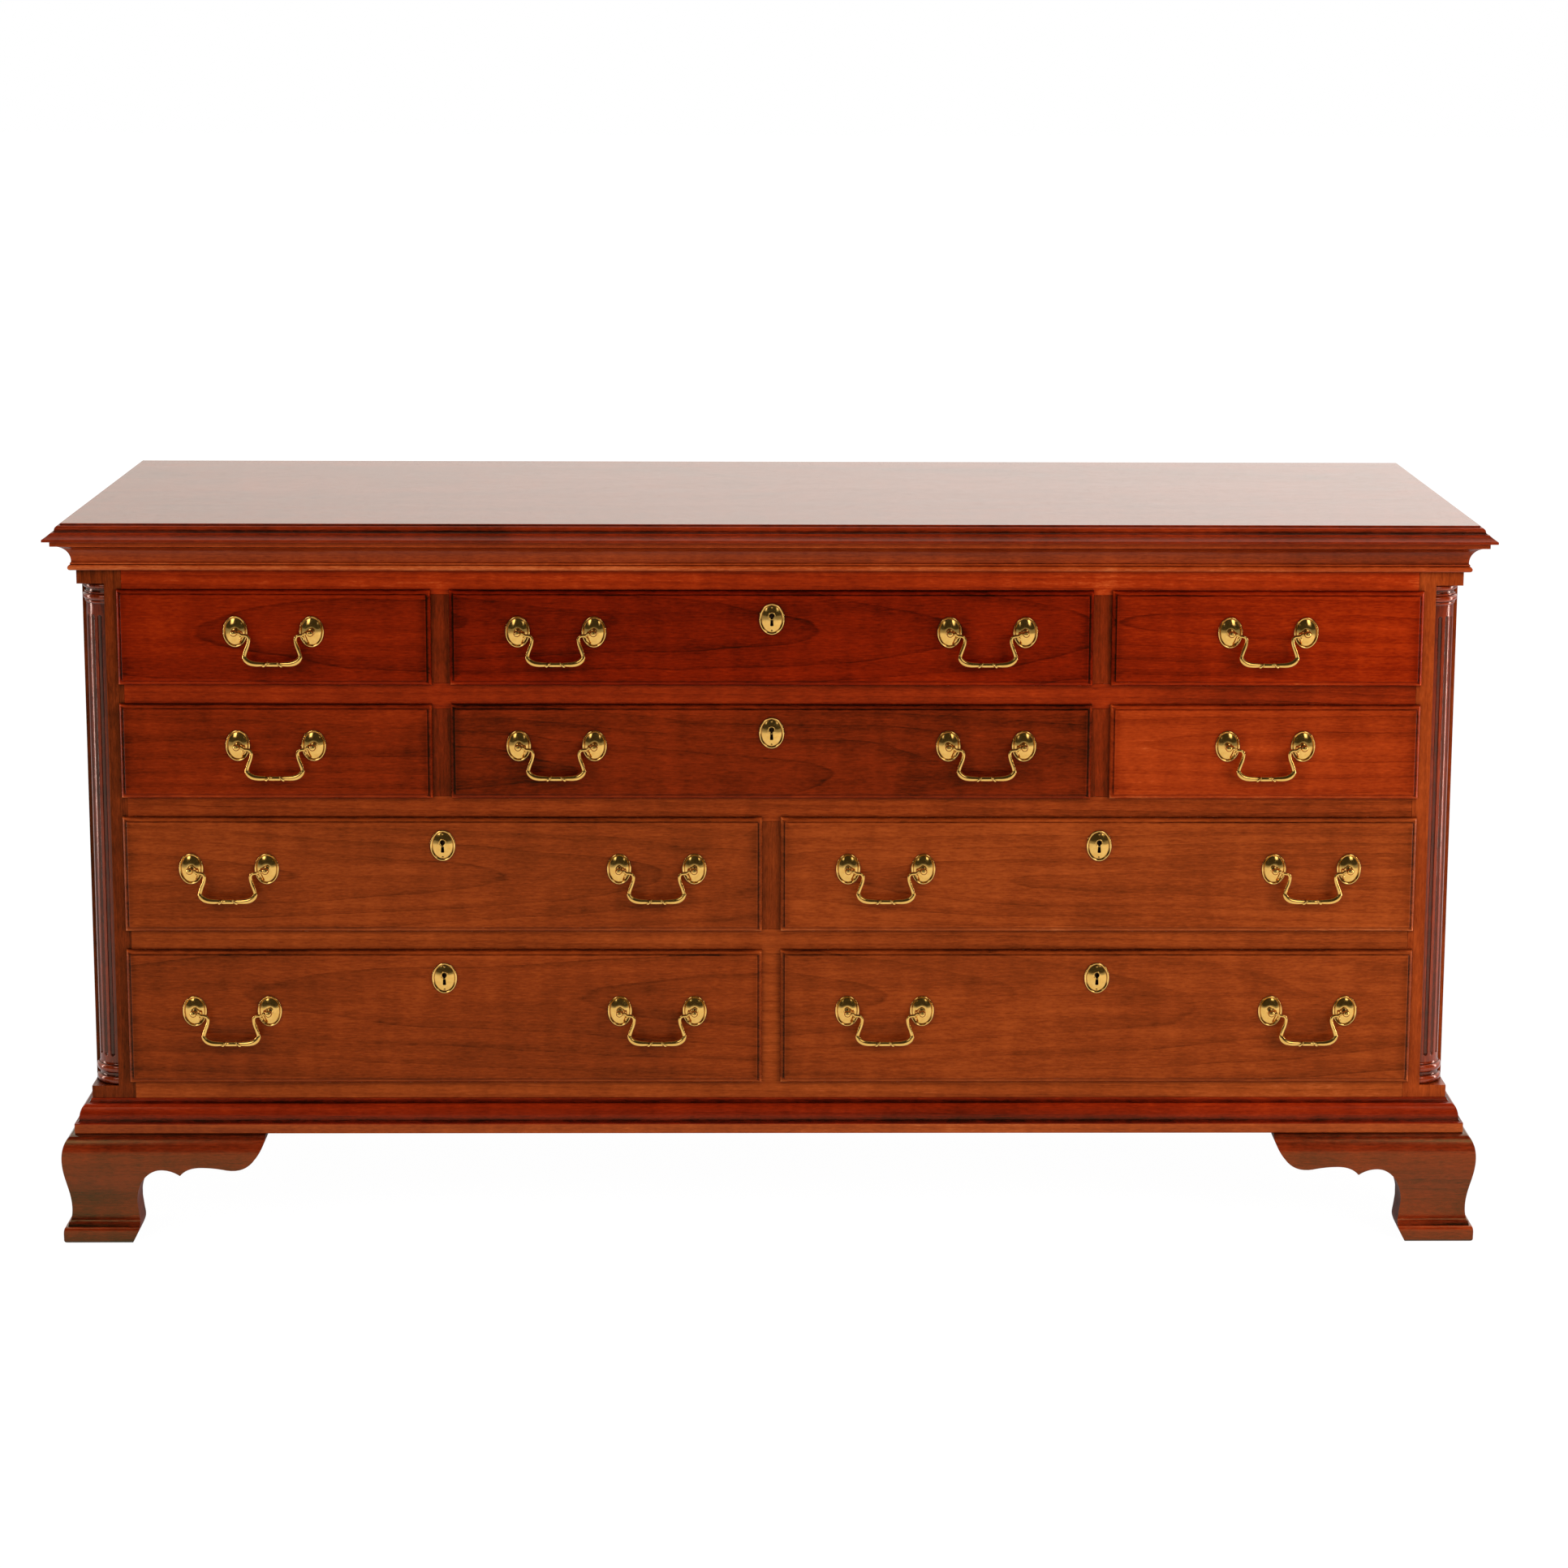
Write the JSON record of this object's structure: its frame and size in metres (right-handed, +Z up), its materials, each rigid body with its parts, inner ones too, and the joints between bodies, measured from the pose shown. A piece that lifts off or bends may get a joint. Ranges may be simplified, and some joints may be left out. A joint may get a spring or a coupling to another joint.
{
  "type": "dresser",
  "caption": "Wide chest of drawers with lipped fronts, swan-neck bail pulls, keyhole plates, fluted quarter columns, a cove cornice and ogee bracket feet.",
  "frame": {"origin": "on the floor under the middle of the bounding box", "axes": "+Z up, the drawers open towards -Y, +X to the right as seen from the front"},
  "size_m": [1.6776, 0.533, 0.8636],
  "materials": {
    "case_wood": "reddish brown stain under a glossy clear lacquer",
    "top_wood": "reddish brown stain under a glossy clear lacquer",
    "front_wood": "figured reddish wood under a glossy clear lacquer",
    "secondary_wood": "plain unstained wood, satin",
    "brass": "polished"
  },
  "bodies": {
    "case": {"top_board": "top_wood", "cornice_moulding": "case_wood", "base_moulding": "case_wood", "top_rail": "case_wood", "dust_shelf_upper": "case_wood", "dust_shelf_middle": "case_wood", "dust_shelf_lower": "case_wood", "bottom_board": "case_wood", "divider_row1_left": "case_wood", "divider_row1_right": "case_wood", "divider_row2_left": "case_wood", "divider_row2_right": "case_wood", "divider_row3_centre": "case_wood", "back_panel": "secondary_wood", "side_panel_left": "case_wood", "side_panel_right": "case_wood", "corner_post_left": "case_wood", "corner_post_right": "case_wood", "quarter_column_left": "case_wood", "quarter_column_right": "case_wood", "foot_front_left": "case_wood", "foot_front_right": "case_wood", "foot_rear_left": "case_wood", "foot_rear_right": "case_wood"},
    "drawer_row1_left": {"drawer_front_row1_left": "front_wood", "drawer_box_row1_left": "secondary_wood"},
    "bail_row1_left": {"bail_row1_left": "brass"},
    "drawer_row1_centre": {"drawer_front_row1_centre": "front_wood", "drawer_box_row1_centre": "secondary_wood"},
    "bail_row1_centre_a": {"bail_row1_centre_a": "brass"},
    "bail_row1_centre_b": {"bail_row1_centre_b": "brass"},
    "drawer_row1_right": {"drawer_front_row1_right": "front_wood", "drawer_box_row1_right": "secondary_wood"},
    "bail_row1_right": {"bail_row1_right": "brass"},
    "drawer_row2_left": {"drawer_front_row2_left": "front_wood", "drawer_box_row2_left": "secondary_wood"},
    "bail_row2_left": {"bail_row2_left": "brass"},
    "drawer_row2_centre": {"drawer_front_row2_centre": "front_wood", "drawer_box_row2_centre": "secondary_wood"},
    "bail_row2_centre_a": {"bail_row2_centre_a": "brass"},
    "bail_row2_centre_b": {"bail_row2_centre_b": "brass"},
    "drawer_row2_right": {"drawer_front_row2_right": "front_wood", "drawer_box_row2_right": "secondary_wood"},
    "bail_row2_right": {"bail_row2_right": "brass"},
    "drawer_row3_left": {"drawer_front_row3_left": "front_wood", "drawer_box_row3_left": "secondary_wood"},
    "bail_row3_left_a": {"bail_row3_left_a": "brass"},
    "bail_row3_left_b": {"bail_row3_left_b": "brass"},
    "drawer_row3_right": {"drawer_front_row3_right": "front_wood", "drawer_box_row3_right": "secondary_wood"},
    "bail_row3_right_a": {"bail_row3_right_a": "brass"},
    "bail_row3_right_b": {"bail_row3_right_b": "brass"},
    "drawer_row4_left": {"drawer_front_row4_left": "front_wood", "drawer_box_row4_left": "secondary_wood"},
    "bail_row4_left_a": {"bail_row4_left_a": "brass"},
    "bail_row4_left_b": {"bail_row4_left_b": "brass"},
    "drawer_row4_right": {"drawer_front_row4_right": "front_wood", "drawer_box_row4_right": "secondary_wood"},
    "bail_row4_right_a": {"bail_row4_right_a": "brass"},
    "bail_row4_right_b": {"bail_row4_right_b": "brass"}
  },
  "joints": [
    {"name": "slide_row1_left", "type": "slide", "parent": "case", "child": "drawer_row1_left", "axis": [0, -1, 0], "range_m": [0, 0.34]},
    {"name": "swing_row1_left", "type": "hinge", "parent": "drawer_row1_left", "child": "bail_row1_left", "pos_m": [-0.5785, -0.25465, 0.736], "axis": [-1, 0, 0], "range_deg": [-12, 192]},
    {"name": "slide_row1_centre", "type": "slide", "parent": "case", "child": "drawer_row1_centre", "axis": [0, -1, 0], "range_m": [0, 0.34]},
    {"name": "swing_row1_centre_a", "type": "hinge", "parent": "drawer_row1_centre", "child": "bail_row1_centre_a", "pos_m": [-0.2511, -0.25465, 0.736], "axis": [-1, 0, 0], "range_deg": [-12, 192]},
    {"name": "swing_row1_centre_b", "type": "hinge", "parent": "drawer_row1_centre", "child": "bail_row1_centre_b", "pos_m": [0.2511, -0.25465, 0.736], "axis": [-1, 0, 0], "range_deg": [-12, 192]},
    {"name": "slide_row1_right", "type": "slide", "parent": "case", "child": "drawer_row1_right", "axis": [0, -1, 0], "range_m": [0, 0.34]},
    {"name": "swing_row1_right", "type": "hinge", "parent": "drawer_row1_right", "child": "bail_row1_right", "pos_m": [0.5785, -0.25465, 0.736], "axis": [-1, 0, 0], "range_deg": [-12, 192]},
    {"name": "slide_row2_left", "type": "slide", "parent": "case", "child": "drawer_row2_left", "axis": [0, -1, 0], "range_m": [0, 0.34]},
    {"name": "swing_row2_left", "type": "hinge", "parent": "drawer_row2_left", "child": "bail_row2_left", "pos_m": [-0.5785, -0.25465, 0.6005], "axis": [-1, 0, 0], "range_deg": [-12, 192]},
    {"name": "slide_row2_centre", "type": "slide", "parent": "case", "child": "drawer_row2_centre", "axis": [0, -1, 0], "range_m": [0, 0.34]},
    {"name": "swing_row2_centre_a", "type": "hinge", "parent": "drawer_row2_centre", "child": "bail_row2_centre_a", "pos_m": [-0.2511, -0.25465, 0.6005], "axis": [-1, 0, 0], "range_deg": [-12, 192]},
    {"name": "swing_row2_centre_b", "type": "hinge", "parent": "drawer_row2_centre", "child": "bail_row2_centre_b", "pos_m": [0.2511, -0.25465, 0.6005], "axis": [-1, 0, 0], "range_deg": [-12, 192]},
    {"name": "slide_row2_right", "type": "slide", "parent": "case", "child": "drawer_row2_right", "axis": [0, -1, 0], "range_m": [0, 0.34]},
    {"name": "swing_row2_right", "type": "hinge", "parent": "drawer_row2_right", "child": "bail_row2_right", "pos_m": [0.5785, -0.25465, 0.6005], "axis": [-1, 0, 0], "range_deg": [-12, 192]},
    {"name": "slide_row3_left", "type": "slide", "parent": "case", "child": "drawer_row3_left", "axis": [0, -1, 0], "range_m": [0, 0.34]},
    {"name": "swing_row3_left_a", "type": "hinge", "parent": "drawer_row3_left", "child": "bail_row3_left_a", "pos_m": [-0.6366, -0.25465, 0.45225], "axis": [-1, 0, 0], "range_deg": [-12, 192]},
    {"name": "swing_row3_left_b", "type": "hinge", "parent": "drawer_row3_left", "child": "bail_row3_left_b", "pos_m": [-0.13465, -0.25465, 0.45225], "axis": [-1, 0, 0], "range_deg": [-12, 192]},
    {"name": "slide_row3_right", "type": "slide", "parent": "case", "child": "drawer_row3_right", "axis": [0, -1, 0], "range_m": [0, 0.34]},
    {"name": "swing_row3_right_a", "type": "hinge", "parent": "drawer_row3_right", "child": "bail_row3_right_a", "pos_m": [0.13465, -0.25465, 0.45225], "axis": [-1, 0, 0], "range_deg": [-12, 192]},
    {"name": "swing_row3_right_b", "type": "hinge", "parent": "drawer_row3_right", "child": "bail_row3_right_b", "pos_m": [0.6366, -0.25465, 0.45225], "axis": [-1, 0, 0], "range_deg": [-12, 192]},
    {"name": "slide_row4_left", "type": "slide", "parent": "case", "child": "drawer_row4_left", "axis": [0, -1, 0], "range_m": [0, 0.34]},
    {"name": "swing_row4_left_a", "type": "hinge", "parent": "drawer_row4_left", "child": "bail_row4_left_a", "pos_m": [-0.6366, -0.25465, 0.279], "axis": [-1, 0, 0], "range_deg": [-12, 192]},
    {"name": "swing_row4_left_b", "type": "hinge", "parent": "drawer_row4_left", "child": "bail_row4_left_b", "pos_m": [-0.13465, -0.25465, 0.279], "axis": [-1, 0, 0], "range_deg": [-12, 192]},
    {"name": "slide_row4_right", "type": "slide", "parent": "case", "child": "drawer_row4_right", "axis": [0, -1, 0], "range_m": [0, 0.34]},
    {"name": "swing_row4_right_a", "type": "hinge", "parent": "drawer_row4_right", "child": "bail_row4_right_a", "pos_m": [0.13465, -0.25465, 0.279], "axis": [-1, 0, 0], "range_deg": [-12, 192]},
    {"name": "swing_row4_right_b", "type": "hinge", "parent": "drawer_row4_right", "child": "bail_row4_right_b", "pos_m": [0.6366, -0.25465, 0.279], "axis": [-1, 0, 0], "range_deg": [-12, 192]}
  ]
}
